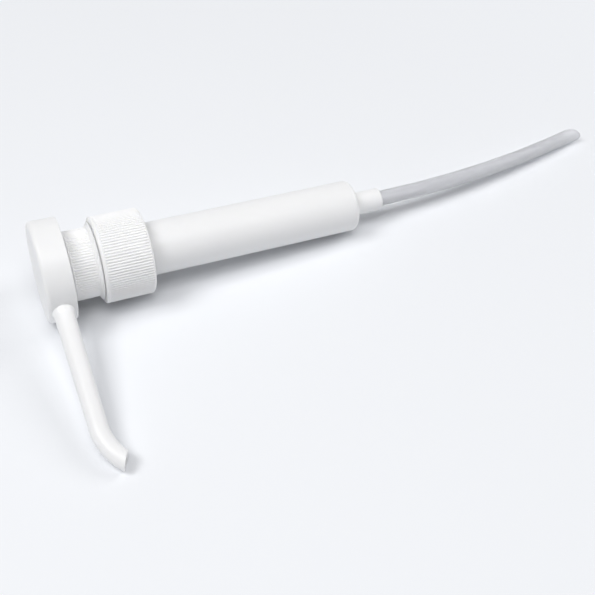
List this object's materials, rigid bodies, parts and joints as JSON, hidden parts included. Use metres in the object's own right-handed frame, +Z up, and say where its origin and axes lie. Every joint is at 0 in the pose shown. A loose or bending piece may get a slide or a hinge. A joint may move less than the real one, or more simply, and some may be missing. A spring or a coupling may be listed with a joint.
{
  "type": "jug dispensing pump",
  "caption": "Hand pump for a gallon jug lying on its side: palm head with a long bent spout, ribbed lock collar, ribbed screw closure, piston housing and curved dip tube",
  "frame": {"origin": "centre of the sealing plane on the jug's neck, on the pump axis", "axes": "+X runs level along the lying pump from the palm head to the dip tube, +Z is up from the table, +Y points away from the side that the spout lies on"},
  "size_m": [0.3284, 0.136, 0.0517],
  "materials": {
    "white_polypropylene": "satin moulded white polypropylene",
    "natural_polypropylene": "unpigmented polypropylene",
    "soft_polyethylene": "soft unpigmented polyethylene",
    "natural_polyethylene": "translucent extruded polyethylene",
    "foam_liner": "white foam sealing ring",
    "spring_steel": "drawn stainless wire",
    "stainless_steel": "polished stainless ball"
  },
  "bodies": {
    "housing_body": {"housing": "white_polypropylene", "lock_collar": "white_polypropylene", "stem_wiper": "soft_polyethylene", "neck_gasket": "foam_liner", "return_spring": "spring_steel", "inlet_cage": "natural_polypropylene", "dip_tube": "natural_polyethylene"},
    "closure_body": {"screw_closure": "white_polypropylene"},
    "piston_body": {"piston_seal": "soft_polyethylene"},
    "head_body": {"pump_head": "white_polypropylene", "stem": "white_polypropylene", "piston_retainer": "natural_polypropylene"},
    "outlet_ball_body": {"outlet_ball": "stainless_steel"},
    "inlet_ball_body": {"inlet_ball": "stainless_steel"}
  },
  "joints": [
    {"name": "pump_stroke", "type": "slide", "parent": "housing_body", "child": "piston_body", "axis": [-0.9976, 0, 0.0692], "range_m": [0, 0.064], "deforming": ["return_spring"]},
    {"name": "head_swivel", "type": "hinge", "parent": "piston_body", "child": "head_body", "pos_m": [0, 0, 0], "axis": [-0.9976, 0, 0.0692], "continuous": true},
    {"name": "closure_spin", "type": "hinge", "parent": "housing_body", "child": "closure_body", "pos_m": [0, 0, 0], "axis": [-0.9976, 0, 0.0692], "continuous": true},
    {"name": "outlet_ball_lift", "type": "slide", "parent": "head_body", "child": "outlet_ball_body", "axis": [-0.9976, 0, 0.0692], "range_m": [0, 0.0025]},
    {"name": "inlet_ball_lift", "type": "slide", "parent": "housing_body", "child": "inlet_ball_body", "axis": [-0.9976, 0, 0.0692], "range_m": [0, 0.003]}
  ]
}
